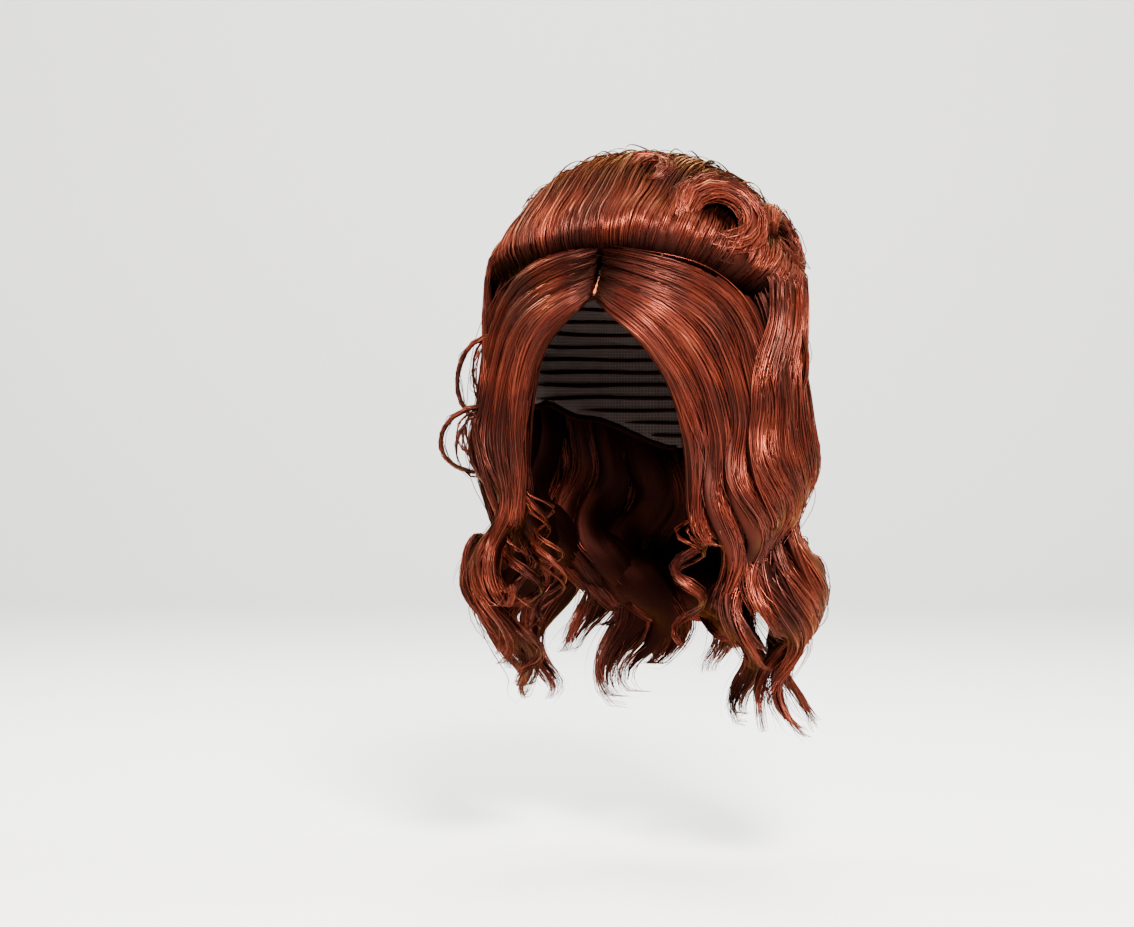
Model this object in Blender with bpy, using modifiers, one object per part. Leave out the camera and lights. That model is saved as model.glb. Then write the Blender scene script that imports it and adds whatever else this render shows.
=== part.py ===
# A wavy wig: an elastic net cap that carries a parted front, a high bouffant crown and long wavy locks.
# Metres, +Z up. The face looks along -Y, and the origin is the inside of the cap's crown, on the head.
# Azimuths are degrees round the head: 0 is the front, 90 the wearer's left (+X) and 180 the nape.

from collections import namedtuple
from math import acos, cos, exp, pi, radians, sin, sqrt, tau

import bmesh
import bpy
from mathutils import Vector

# The head that the cap fits
HEAD_WIDTH = 0.150
HEAD_DEPTH = 0.190
CROWN_HEIGHT = 0.078  # from the crown down to the head's widest level

# The cap
CAP_WALL = 0.002
CAP_NAPE_DROP = 0.150  # from the crown down to the edge at the nape
CLEARANCE = 0.0004  # between pieces that lie on each other

# The parting
PARTING_WIDTH = 0.0045
PARTING_THICKNESS = 0.0015
PARTING_BACK = 0.045  # how far in front of the head's axis the parting starts
PARTING_FRONT = 0.079  # and ends, at the hairline

# The bouffant crown
CROWN_WIDTH = 0.228
CROWN_FRONT = 0.094  # from its own centre forwards
CROWN_BACK = 0.118  # and backwards
CROWN_RISE = 0.073  # above the head
CROWN_DEPTH = 0.104  # from its top down to its widest level
CROWN_SET_BACK = 0.020  # its centre behind the head's axis
CREASE_HEIGHT = -0.002  # of the crease round its foot, at the parting's back end
CREASE_SLOPE = 0.25  # how far the crease falls for each metre backwards
CROWN_LOCK_WIDTH = 0.030
CROWN_LOCK_THICKNESS = 0.011

# The hanging hair
HAIR_DROP = 0.395  # from the crown down to the longest tip
WAVE_LENGTH = 0.112
WAVE_HEIGHT = 0.013
WAVE_OUT = 0.80  # how far a lock sways outwards, as a share of its sway sideways
WAVE_START = 0.085  # how far below its root a lock starts to wave
LOCK_WIDTH = 0.040
LOCK_THICKNESS = 0.017
ROOT_FLATNESS = 0.36  # how thin a front lock is at the parting, as a share of its thickness
LEVEL_BY = 0.4  # the share of its length by which a hanging lock's sections are level
LOCK_TURN = 0.045  # the drop over which a lock comes round from the parting

# Curls
CURL_THICKNESS = 0.012
CURL_WIDTH = 0.018
CURL_LIFT = 0.006  # of its middle line above the crown
SEAT_CLEARANCE = 0.0004  # round a curl, ringlet or tendril where it sits in the hair
RINGLET_RADIUS = 0.013
RINGLET_THICKNESS = 0.0044
TENDRIL_THICKNESS = 0.0030

# How finely the solids are faceted
LOCK_SIDES = 6
LOCK_STATIONS = 14
CURL_STATIONS = 17
WIRE_STATIONS = 24  # along a ringlet or tendril
WELD = 0.00005  # corners nearer than this become one
FLAT = 1.0  # degrees between faces that become one
CREASE_ANGLE = 40  # degrees between faces from which their edge shows sharp
CAP_COLUMNS = 32
CAP_RINGS = 8
CROWN_COLUMNS = 28
CROWN_RINGS = 12
CROWN_STATIONS = 8

HAIR_COLOUR = (0.30, 0.045, 0.018)
HAIR_ROUGHNESS = 0.35
CAP_COLOUR = (0.035, 0.016, 0.012)
PARTING_COLOUR = (0.52, 0.15, 0.07)

# The cap's lower edge: how far below the crown it lies, as a share of CAP_NAPE_DROP
CapEdge = namedtuple("CapEdge", "azimuth drop")
CAP_EDGE = [
    CapEdge(0, 0.235),
    CapEdge(40, 0.42),
    CapEdge(75, 0.78),
    CapEdge(92, 0.76),
    CapEdge(125, 0.84),
    CapEdge(180, 1.00),
]

# Each hanging lock: root and hang are azimuths, start is the root's height as a share of CROWN_HEIGHT
# below the crown, turn is a share of LOCK_TURN, lift is how far it hangs outside the head as a share of
# HEAD_WIDTH, tip its lowest point as a share of HAIR_DROP, width and wave shares of LOCK_WIDTH and
# WAVE_HEIGHT, and phase a share of one wave.
Lock = namedtuple("Lock", "piece root hang start turn root_lift lift tip width wave phase")
LOCKS = [
    Lock("front_panel_left", 2, 56, 0.420, 0.80, 0.040, 0.10, 0.58, 0.62, 0.30, 0.30),
    Lock("front_panel_left", 2, 64, 0.330, 0.58, 0.045, 0.15, 0.74, 0.80, 0.55, 0.36),
    Lock("front_panel_left", 3, 72, 0.240, 0.40, 0.070, 0.20, 0.86, 0.95, 0.80, 0.42),
    Lock("front_panel_left", 4, 79, 0.160, 0.28, 0.130, 0.26, 0.80, 1.00, 0.90, 0.52),
    Lock("side_locks_left", 92, 92, 0.30, 0.30, 0.24, 0.27, 0.93, 1.05, 1.00, 0.66),
    Lock("side_locks_left", 104, 101, 0.32, 0.30, 0.25, 0.30, 1.00, 1.05, 1.15, 0.79),
    Lock("side_locks_left", 114, 109, 0.34, 0.30, 0.25, 0.34, 0.88, 1.00, 1.10, 0.90),
    Lock("side_locks_left", 125, 119, 0.36, 0.30, 0.24, 0.28, 0.96, 1.00, 1.00, 0.00),
    Lock("back_locks_left", 139, 138, 0.40, 0.30, 0.22, 0.20, 0.88, 1.10, 1.00, 0.15),
    Lock("back_locks_left", 154, 152, 0.44, 0.30, 0.21, 0.16, 0.95, 1.10, 1.00, 0.30),
    Lock("back_locks_left", 170, 169, 0.46, 0.30, 0.20, 0.14, 0.90, 1.15, 1.00, 0.45),
    Lock("front_panel_right", -2, -54, 0.420, 0.74, 0.040, 0.08, 0.55, 0.62, 0.30, 0.20),
    Lock("front_panel_right", -2, -61, 0.340, 0.54, 0.045, 0.15, 0.72, 0.80, 0.70, 0.08),
    Lock("front_panel_right", -3, -68, 0.245, 0.40, 0.070, 0.19, 0.84, 0.95, 1.10, 0.98),
    Lock("front_panel_right", -4, -76, 0.160, 0.28, 0.130, 0.24, 0.80, 1.00, 1.35, 0.90),
    Lock("side_locks_right", -92, -90, 0.30, 0.30, 0.24, 0.25, 0.86, 1.05, 1.00, 0.90),
    Lock("side_locks_right", -104, -100, 0.32, 0.30, 0.25, 0.26, 0.93, 1.05, 1.20, 0.94),
    Lock("side_locks_right", -114, -110, 0.34, 0.30, 0.25, 0.25, 0.84, 1.00, 1.00, 0.84),
    Lock("side_locks_right", -125, -121, 0.36, 0.30, 0.24, 0.23, 0.92, 1.00, 1.00, 0.74),
    Lock("back_locks_right", -139, -138, 0.40, 0.30, 0.22, 0.19, 0.86, 1.10, 1.00, 0.66),
    Lock("back_locks_right", -154, -153, 0.44, 0.30, 0.21, 0.16, 0.94, 1.10, 1.00, 0.56),
    Lock("back_locks_right", -170, -169, 0.46, 0.30, 0.20, 0.14, 0.89, 1.15, 1.00, 0.46),
]

# Each group of hanging locks keeps to its own sector of azimuths
Sector = namedtuple("Sector", "piece low high")
SECTORS = [
    Sector("front_panel_left", 0, 85),
    Sector("side_locks_left", 85, 131),
    Sector("back_locks_left", 131, 180),
    Sector("front_panel_right", -85, 0),
    Sector("side_locks_right", -131, -85),
    Sector("back_locks_right", -180, -131),
]

# Locks laid over the crown, from the crease at the front over the top: azimuth and elevation of each
# lock's foot, middle and end on the crown, its width as a share of CROWN_LOCK_WIDTH and its thickness
# as a share of CROWN_LOCK_THICKNESS. The last one is the roll to the left of the parting.
CrownLock = namedtuple("CrownLock", "foot foot_up middle middle_up end end_up width thickness")
CROWN_LOCKS = [
    CrownLock(-84, -2, -94, 34, -150, 56, 1.1, 1.0),
    CrownLock(-62, 6, -74, 42, -158, 64, 1.1, 1.1),
    CrownLock(-42, 11, -50, 44, -170, 74, 1.0, 1.0),
    CrownLock(-24, 13, -26, 48, 170, 78, 1.0, 1.2),
    CrownLock(-8, 14, -4, 50, 160, 74, 1.0, 1.0),
    CrownLock(8, 18, 14, 50, 140, 62, 1.1, 1.1),
    CrownLock(-106, -10, -120, 20, -160, 34, 1.3, 1.0),
    CrownLock(108, 0, 128, 22, 168, 38, 1.3, 1.0),
    CrownLock(2, 13, 36, 16, 86, 6, 1.3, 1.6),
]

# Curls laid on the crown: the centre's azimuth and elevation on the crown, the outer and inner radius as
# shares of CROWN_WIDTH, how many turns, where it starts round the centre, which way it winds, and its
# width as a share of CURL_WIDTH
CrownCurl = namedtuple("CrownCurl", "azimuth elevation outer inner turns start way width")
CROWN_CURLS = [
    CrownCurl(52, 29, 0.145, 0.055, 1.25, 215, -1, 0.85),
    CrownCurl(20, 60, 0.085, 0.040, 1.00, 150, -1, 0.60),
    CrownCurl(98, 22, 0.105, 0.048, 1.15, 170, -1, 0.75),
]

# Ringlets that hang free in front of the neck: the lock, by its place in LOCKS, that each one leaves and
# how far down HAIR_DROP, its drop as a share of that, its turns, phase and how far it drifts inwards as
# a share of HEAD_WIDTH
Ringlet = namedtuple("Ringlet", "lock top drop turns phase drift")
RINGLETS = [
    Ringlet(11, 0.44, 0.27, 2.2, 0.00, 0.16),
    Ringlet(12, 0.50, 0.33, 2.6, 0.40, 0.10),
    Ringlet(0, 0.46, 0.28, 2.4, 0.50, 0.08),
]

# Loose tendrils outside the locks: the lock that each one leaves and how far down HAIR_DROP, how far it
# swings out as a share of HEAD_WIDTH, its drop as a share of HAIR_DROP and how far round it hooks
Tendril = namedtuple("Tendril", "lock top swing drop hook")
TENDRILS = [
    Tendril(14, 0.15, 0.17, 0.17, 1.10),
    Tendril(13, 0.29, 0.22, 0.13, 1.20),
    Tendril(5, 0.12, 0.09, 0.16, 1.10),
]


def ease(share):
    """0 to 1 with level ends."""
    share = min(1.0, max(0.0, share))
    return share * share * (3 - 2 * share)


def periodic(table, azimuth):
    """The second column of a table of half turns, read smoothly at an azimuth on either side."""
    at = abs((azimuth + 180) % 360 - 180)
    for low, high in zip(table, table[1:]):
        if at <= high[0]:
            return low[1] + (high[1] - low[1]) * ease((at - low[0]) / (high[0] - low[0]))
    return table[-1][1]


def scalp(azimuth, depth, lift=0.0):
    """A point on the head, depth below the crown, raised square to the head by lift."""
    turn = radians(azimuth)
    up = max(0.0, 1 - depth / CROWN_HEIGHT)
    out = sqrt(1 - up * up)
    way = Vector((out * sin(turn), -out * cos(turn), up))
    half = Vector((HEAD_WIDTH / 2, HEAD_DEPTH / 2, CROWN_HEIGHT))
    normal = Vector((way.x / half.x, way.y / half.y, way.z / half.z)).normalized()
    return way * half - Vector((0, 0, CROWN_HEIGHT if up else depth)) + normal * lift


def aimed(azimuth, elevation):
    """The unit direction at an azimuth and elevation in degrees."""
    turn, rise = radians(azimuth), radians(elevation)
    return Vector((sin(turn) * cos(rise), -cos(turn) * cos(rise), sin(rise)))


def crown_centre():
    return Vector((0, CROWN_SET_BACK, CROWN_RISE - CROWN_DEPTH))


def crown_half(y):
    """The crown's half sizes, for a point in front of its centre or behind it."""
    return Vector((CROWN_WIDTH / 2, CROWN_FRONT if y < 0 else CROWN_BACK, CROWN_DEPTH))


def crown_point(direction, lift=0.0):
    """A point on the crown's smooth outer shape, or lift outside it."""
    return crown_centre() + direction * (crown_half(direction.y) + Vector((lift, lift, lift)))


def from_crown(point):
    """Square out from the crown's outer shape."""
    away = point - crown_centre()
    half = crown_half(away.y)
    return Vector((away.x / half.x**2, away.y / half.y**2, away.z / half.z**2)).normalized()


def from_head(point):
    """Square out from the head, and level below its widest part."""
    up = max(0.0, point.z + CROWN_HEIGHT) / CROWN_HEIGHT**2
    return Vector((point.x / (HEAD_WIDTH / 2) ** 2, point.y / (HEAD_DEPTH / 2) ** 2, up)).normalized()


def crease_height(y):
    """The height of the sloping crease that parts the crown from the hanging hair."""
    return CREASE_HEIGHT - CREASE_SLOPE * (y + PARTING_BACK)


def collection(name):
    made = bpy.data.collections.new(name)
    bpy.context.scene.collection.children.link(made)
    return made


def material(name, colour, roughness):
    made = bpy.data.materials.new(name)
    made.use_nodes = True
    shader = made.node_tree.nodes["Principled BSDF"]
    shader.inputs["Base Color"].default_value = (*colour, 1)
    shader.inputs["Roughness"].default_value = roughness
    return made


def hair(name):
    return material(name, HAIR_COLOUR, HAIR_ROUGHNESS)


def new_object(name, mesh, place, finish=None):
    """An object of the wig, or a cutter where it has no finish."""
    made = bpy.data.objects.new(name, mesh)
    place.objects.link(made)
    if finish:
        made.data.materials.append(finish)
    else:
        made.hide_render = True
        made.display_type = "WIRE"
    return made


def mesh_of(name, points, faces):
    mesh = bpy.data.meshes.new(name)
    mesh.from_pydata([tuple(p) for p in points], [], faces)
    shaped = bmesh.new()
    shaped.from_mesh(mesh)
    bmesh.ops.recalc_face_normals(shaped, faces=shaped.faces)
    shaped.to_mesh(mesh)
    shaped.free()
    return mesh


def even_path(points, count):
    """count points at equal distances along a line through points."""
    reach = [0.0]
    for a, b in zip(points, points[1:]):
        reach.append(reach[-1] + (b - a).length)
    found, at = [], 0
    for i in range(count):
        wanted = reach[-1] * i / (count - 1)
        while at < len(points) - 2 and reach[at + 1] < wanted:
            at += 1
        share = (wanted - reach[at]) / max(reach[at + 1] - reach[at], 1e-9)
        found.append(points[at].lerp(points[at + 1], min(1.0, share)))
    return found


def strip(name, path, outward, half_width, half_thickness, sides=LOCK_SIDES, level=False):
    """A closed lock along path. outward(point) is the way its flat side faces, and half_width and
    half_thickness are functions of the share of its length. With level its sections turn level soon
    after the root, so that a wave shears it and can't fold it."""
    points, faces = [], []
    last = len(path) - 1
    for i, middle in enumerate(path):
        along = (path[min(i + 1, last)] - path[max(i - 1, 0)]).normalized()
        face = outward(middle)
        face = (face - along * face.dot(along)).normalized()
        across = along.cross(face)
        share = i / last
        if level:
            out = outward(middle)
            aside = Vector((-out.y, out.x, 0)).normalized()
            if aside.dot(across) < 0:
                aside = -aside
            across = across.lerp(aside, ease(share / LEVEL_BY)).normalized()
            face = face.lerp(out, ease(share / LEVEL_BY)).normalized()
        for k in range(sides):
            turn = tau * (k + 0.5) / sides
            aside = across * (half_width(share) * cos(turn))
            points.append(middle + aside + face * (half_thickness(share) * sin(turn)))
    for i in range(last):
        for k in range(sides):
            after = (k + 1) % sides
            faces.append((i * sides + k, i * sides + after, (i + 1) * sides + after, (i + 1) * sides + k))
    faces.append(tuple(range(sides)))
    faces.append(tuple(range(last * sides, (last + 1) * sides)))
    return mesh_of(name, points, faces)


def tidy(mesh):
    """Merges the slivers and the flat fragments that a cut leaves, as far as the surface stays closed."""
    for merge, flat in ((WELD, FLAT), (WELD, 0), (0, 0)):
        shaped = bmesh.new()
        shaped.from_mesh(mesh)
        if merge:
            bmesh.ops.remove_doubles(shaped, verts=shaped.verts, dist=merge)
            bmesh.ops.dissolve_degenerate(shaped, edges=shaped.edges, dist=merge)
        if flat:
            limit = radians(flat)
            bmesh.ops.dissolve_limit(shaped, angle_limit=limit, verts=shaped.verts, edges=shaped.edges)
        bmesh.ops.triangulate(shaped, faces=shaped.faces)
        closed = all(edge.is_manifold for edge in shaped.edges)
        if closed:
            shaped.to_mesh(mesh)
        shaped.free()
        if closed:
            return


def evaluated_mesh(item):
    """A mesh of an object as its modifiers or its curve's bevel make it."""
    return bpy.data.meshes.new_from_object(item.evaluated_get(bpy.context.evaluated_depsgraph_get()))


def boolean(target, operation, *others):
    """Joins target with others, or cuts them from it, and keeps the result as target's own mesh."""
    cutters = bpy.data.collections.new(target.name + "_with")
    bpy.context.scene.collection.children.link(cutters)
    for other in others:
        cutters.objects.link(other)
    step = target.modifiers.new(operation.lower(), "BOOLEAN")
    step.operation = operation
    step.operand_type = "COLLECTION"
    step.collection = cutters
    step.solver = "EXACT"
    result = evaluated_mesh(target)
    target.modifiers.clear()
    tidy(result)
    target.data = result
    bpy.data.collections.remove(cutters)
    return target


def from_axis(point):
    """Straight out from the head's upright axis."""
    return Vector((point.x, point.y, 0)).normalized()


def lock_path(lock):
    """The line that a hanging lock follows, from its root round and down to its tip."""
    start = lock.start * CROWN_HEIGHT
    end = lock.tip * HAIR_DROP
    steps = 160
    points = []
    for i in range(steps + 1):
        share = i / steps
        depth = start + (end - start) * share * (0.35 + 0.65 * share)
        fallen = depth - start
        azimuth = lock.root + (lock.hang - lock.root) * (1 - exp(-fallen / (lock.turn * LOCK_TURN)))
        lift = lock.root_lift + (lock.lift - lock.root_lift) * ease(fallen / WAVE_LENGTH)
        middle = scalp(azimuth, depth, lift * HEAD_WIDTH)
        out = from_axis(middle)
        aside = Vector((-out.y, out.x, 0))
        swell = ease((fallen - WAVE_START) / WAVE_LENGTH) * lock.wave * WAVE_HEIGHT
        turn = tau * (fallen / WAVE_LENGTH + lock.phase)
        points.append(middle + aside * (swell * sin(turn)) + out * (WAVE_OUT * swell * cos(turn)))
    return points


def lock_solid(lock, place, grow=0.0):
    path = even_path(lock_path(lock), LOCK_STATIONS)

    def half_width(share):
        full = lock.width * LOCK_WIDTH / 2
        return full * (0.80 + 0.20 * ease(share * 4)) * (1 - 0.72 * ease((share - 0.62) / 0.38)) + grow

    flat = ROOT_FLATNESS if lock.piece.startswith("front") else 1.0

    def half_thickness(share):
        rising = flat + (1 - flat) * ease(share * 5)
        return LOCK_THICKNESS / 2 * rising * (1 - 0.55 * ease((share - 0.55) / 0.45)) + grow

    shape = strip(lock.piece, path, from_head, half_width, half_thickness, level=True)
    return new_object(lock.piece + "_lock", shape, place)


def offset_line(azimuth, gap, left):
    """A point and a direction of the plan line along azimuth, moved gap to its left or right."""
    turn = radians(azimuth)
    way = Vector((sin(turn), -cos(turn)))
    side = Vector((-way.y, way.x)) if left else Vector((way.y, -way.x))
    return side * gap, way


def sector_solid(sector, place):
    """The space that a group of locks may fill: a wedge of azimuths, below the crease."""
    far = HAIR_DROP + CROWN_WIDTH
    middle_cut = CLEARANCE / 2
    parting_cut = PARTING_WIDTH / 2 + CLEARANCE
    low_gap = parting_cut if sector.low == 0 else middle_cut
    high_gap = parting_cut if sector.high == 0 else middle_cut
    a, u = offset_line(sector.low, low_gap, left=True)
    b, v = offset_line(sector.high, high_gap, left=False)
    apart = b - a
    reach = (apart.x * v.y - apart.y * v.x) / (u.x * v.y - u.y * v.x)
    apex = a + u * reach
    outline = [apex]
    for k in range(5):
        turn = radians(sector.low + (sector.high - sector.low) * k / 4)
        outline.append(apex + Vector((sin(turn), -cos(turn))) * far)
    count = len(outline)
    points = [(p.x, p.y, -far) for p in outline]
    points += [(p.x, p.y, crease_height(p.y) - CLEARANCE) for p in outline]
    faces = [tuple(range(count)), tuple(range(count, 2 * count))]
    for k in range(count):
        after = (k + 1) % count
        faces.append((k, after, count + after, count + k))
    return new_object(sector.piece + "_sector", mesh_of(sector.piece, points, faces), place)


def cap_edge(azimuth):
    return periodic(CAP_EDGE, azimuth) * CAP_NAPE_DROP


def run_to(depth):
    """How far it is down the head's side profile from the crown to a depth."""
    if depth < CROWN_HEIGHT:
        return CROWN_HEIGHT * acos(1 - depth / CROWN_HEIGHT)
    return pi / 2 * CROWN_HEIGHT + depth - CROWN_HEIGHT


def depth_at(run):
    """The depth below the crown after a run down the head, which falls straight past its widest level."""
    quarter = pi / 2 * CROWN_HEIGHT
    if run < quarter:
        return CROWN_HEIGHT * (1 - cos(run / CROWN_HEIGHT))
    return CROWN_HEIGHT + run - quarter


def dome(edge, lift, skirt=None):
    """The points and faces of an open dome over the head, raised by lift, down to edge(azimuth) below the
    crown and, where skirt is given, on down to that level."""
    points, faces = [scalp(0, 0, lift)], []
    azimuths = [360 * k / CAP_COLUMNS for k in range(CAP_COLUMNS)]
    for ring in range(1, CAP_RINGS + 1):
        points += [scalp(a, depth_at(run_to(edge(a)) * ring / CAP_RINGS), lift) for a in azimuths]
    rings = CAP_RINGS
    if skirt:
        points += [scalp(a, skirt, lift) for a in azimuths]
        rings += 1
    for k in range(CAP_COLUMNS):
        faces.append((0, 1 + k, 1 + (k + 1) % CAP_COLUMNS))
    for ring in range(rings - 1):
        base = 1 + ring * CAP_COLUMNS
        for k in range(CAP_COLUMNS):
            after = (k + 1) % CAP_COLUMNS
            below = base + CAP_COLUMNS
            faces.append((base + k, below + k, below + after))
            faces.append((base + k, below + after, base + after))
    return points, faces


def make_cap(place):
    points, faces = dome(cap_edge, 0.0)
    cap = new_object("cap", mesh_of("cap", points, faces), place, material("cap", CAP_COLOUR, 0.85))
    wall = cap.modifiers.new("wall", "SOLIDIFY")
    wall.thickness = CAP_WALL
    wall.offset = 1.0
    return cap


def head_core(name, lift, place):
    """The head with the cap on it, closed below, which cuts the hair's inner side."""
    points, faces = dome(cap_edge, lift, skirt=CAP_NAPE_DROP + LOCK_THICKNESS)
    faces.append(tuple(range(len(points) - CAP_COLUMNS, len(points))))
    return new_object(name, mesh_of(name, points, faces), place)


def make_locks(sector, place, cutters):
    """One group of hanging locks, fused, cut to its sector and hollowed for the cap."""
    rows = [lock for lock in LOCKS if lock.piece == sector.piece]
    solids = [lock_solid(row, cutters) for row in rows]
    group = new_object(sector.piece, solids[0].data.copy(), place, hair(sector.piece))
    boolean(group, "UNION", *solids[1:])
    boolean(group, "INTERSECT", sector_solid(sector, cutters))
    boolean(group, "DIFFERENCE", head_core(sector.piece + "_head", CAP_WALL + CLEARANCE, cutters))
    return group


def crown_path(row, lift):
    """The line that a lock follows over the crown, through its foot, middle and end."""
    foot = aimed(row.foot, row.foot_up)
    middle = aimed(row.middle, row.middle_up)
    end = aimed(row.end, row.end_up)
    points = []
    for i in range(61):
        t = i / 60
        way = foot * ((1 - t) * (1 - 2 * t)) + middle * (4 * t * (1 - t)) + end * (t * (2 * t - 1))
        points.append(crown_point(way.normalized(), lift))
    return even_path(points, CROWN_STATIONS)


def crown_lock(row, place):
    thick = CROWN_LOCK_THICKNESS * row.thickness / 2

    def half_width(share):
        return CROWN_LOCK_WIDTH * row.width / 2 * (0.55 + 0.45 * sin(pi * min(1.0, share + 0.12)))

    def half_thickness(share):
        return thick * (1 - 0.5 * ease((share - 0.7) / 0.3))

    shape = strip("crown_lock", crown_path(row, 0.25 * thick), from_crown, half_width, half_thickness)
    return new_object("crown_lock", shape, place)


def curl_solid(row, place, name, finish=None, grow=0.0):
    """A flat spiral of hair that lies on the crown."""
    centre = aimed(row.azimuth, row.elevation)
    foot = crown_point(centre)
    out = from_crown(foot)
    east = Vector((0, 0, 1)).cross(out).normalized()
    north = out.cross(east)
    points = []
    for i in range(121):
        t = i / 120
        turn = radians(row.start) + row.way * tau * row.turns * t
        radius = CROWN_WIDTH * (row.outer + (row.inner - row.outer) * t)
        there = foot + east * (radius * cos(turn)) + north * (radius * sin(turn)) - crown_centre()
        half = crown_half(there.y)
        way = Vector((there.x / half.x, there.y / half.y, there.z / half.z)).normalized()
        points.append(crown_point(way, CURL_LIFT))
    path = even_path(points, CURL_STATIONS)

    def half_width(share):
        return CURL_WIDTH * row.width / 2 * (1 - 0.35 * ease((share - 0.6) / 0.4)) + grow

    def half_thickness(share):
        return CURL_THICKNESS / 2 * (1 - 0.3 * ease((share - 0.6) / 0.4)) + grow

    return new_object(name, strip(name, path, from_crown, half_width, half_thickness), place, finish)


def make_crown(place, cutters):
    """The bouffant: a thick dome of hair with its locks fused on, cut off at the crease."""
    shaped = bmesh.new()
    bmesh.ops.create_uvsphere(shaped, u_segments=CROWN_COLUMNS, v_segments=CROWN_RINGS, radius=1)
    for vertex in shaped.verts:
        vertex.co = crown_point(vertex.co.copy())
    mesh = bpy.data.meshes.new("crown_bouffant")
    shaped.to_mesh(mesh)
    shaped.free()
    crown = new_object("crown_bouffant", mesh, place, hair("crown_bouffant"))
    boolean(crown, "UNION", *[crown_lock(row, cutters) for row in CROWN_LOCKS])
    boolean(crown, "DIFFERENCE", under_crease(cutters))
    boolean(crown, "DIFFERENCE", head_core("crown_head", CAP_WALL + CLEARANCE, cutters))
    return crown


def under_crease(place):
    """All the space below the crease."""
    far = HAIR_DROP + CROWN_WIDTH
    corners = [(-far, -far), (far, -far), (far, far), (-far, far)]
    points = [(x, y, -far) for x, y in corners] + [(x, y, crease_height(y)) for x, y in corners]
    faces = [(0, 1, 2, 3), (4, 5, 6, 7)]
    faces += [(k, (k + 1) % 4, 4 + (k + 1) % 4, 4 + k) for k in range(4)]
    return new_object("under_crease", mesh_of("under_crease", points, faces), place)


def make_parting(place):
    """The strip along the parting, on the cap between the two front panels."""
    lift = CAP_WALL + CLEARANCE + PARTING_THICKNESS / 2
    path = []
    for i in range(9):
        forward = PARTING_BACK + (PARTING_FRONT - PARTING_BACK) * i / 8
        depth = CROWN_HEIGHT * (1 - sqrt(1 - (forward / (HEAD_DEPTH / 2)) ** 2))
        path.append(scalp(0, depth, lift))
    # Four sides meet at 45 degrees to the strip's faces, so its halves are measured to the corners
    corner = sqrt(2) / 2
    shape = strip(
        "parting_strip",
        path,
        from_head,
        lambda share: PARTING_WIDTH * corner,
        lambda share: PARTING_THICKNESS * corner,
        sides=4,
    )
    return new_object("parting_strip", shape, place, material("parting_strip", PARTING_COLOUR, 0.6))


def point_at_depth(path, depth):
    return next(p for p in path if p.z <= -depth)


def ringlet_path(row):
    """A helix that leaves its lock and drifts in towards the neck."""
    root = point_at_depth(lock_path(LOCKS[row.lock]), row.top * HAIR_DROP)
    out = from_axis(root)
    aside = Vector((-out.y, out.x, 0))
    points = []
    for i in range(161):
        t = i / 160
        turn = tau * (row.turns * t + row.phase)
        radius = RINGLET_RADIUS * ease(t * 3) * (1 - 0.25 * t)
        axis = root - out * (row.drift * HEAD_WIDTH * ease(t * 2)) - Vector((0, 0, row.drop * HAIR_DROP * t))
        points.append(axis + aside * (radius * sin(turn)) + out * (radius * cos(turn)))
    return points


def tendril_path(row):
    """A loose hook that swings out from its lock and comes back to it lower down."""
    root = point_at_depth(lock_path(LOCKS[row.lock]), row.top * HAIR_DROP)
    out = from_axis(root)
    points = []
    for i in range(121):
        t = i / 120
        turn = pi * row.hook * t
        swing = row.swing * HEAD_WIDTH * (sin(turn) + 0.4 * t)
        drop = row.drop * HAIR_DROP * (1 - cos(turn)) / 2
        points.append(root + out * (LOCK_THICKNESS * 0.3 + swing) - Vector((0, 0, drop)))
    return points


def wire(name, points, thickness, place, finish=None):
    """A round curl of hair along points, as a mesh with closed ends."""
    curve = bpy.data.curves.new(name, "CURVE")
    curve.dimensions = "3D"
    curve.bevel_depth = thickness / 2
    curve.bevel_resolution = 0
    curve.use_fill_caps = True
    line = curve.splines.new("POLY")
    line.points.add(len(points) - 1)
    for knot, point in zip(line.points, points):
        knot.co = (*point, 1)
    bent = bpy.data.objects.new(name + "_curve", curve)
    place.objects.link(bent)
    mesh = evaluated_mesh(bent)
    bpy.data.objects.remove(bent)
    shaped = bmesh.new()
    shaped.from_mesh(mesh)
    bmesh.ops.remove_doubles(shaped, verts=shaped.verts, dist=WELD)
    bmesh.ops.recalc_face_normals(shaped, faces=shaped.faces)
    shaped.to_mesh(mesh)
    shaped.free()
    return new_object(name, mesh, place, finish)


def make_loose(name, path, thickness, host, place, cutters):
    """A ringlet or tendril, with a seat cut for it in the group of locks that it leaves."""
    points = even_path(path, WIRE_STATIONS)
    wire(name, points, thickness, place, hair(name))
    seat = wire(name + "_seat", points, thickness + 2 * SEAT_CLEARANCE, cutters)
    boolean(host, "DIFFERENCE", seat)


def make_curl(name, row, crown, place, cutters):
    """A curl with a seat cut for it in the crown."""
    curl_solid(row, place, name, hair(name))
    boolean(crown, "DIFFERENCE", curl_solid(row, cutters, name + "_seat", grow=SEAT_CLEARANCE))


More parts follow.
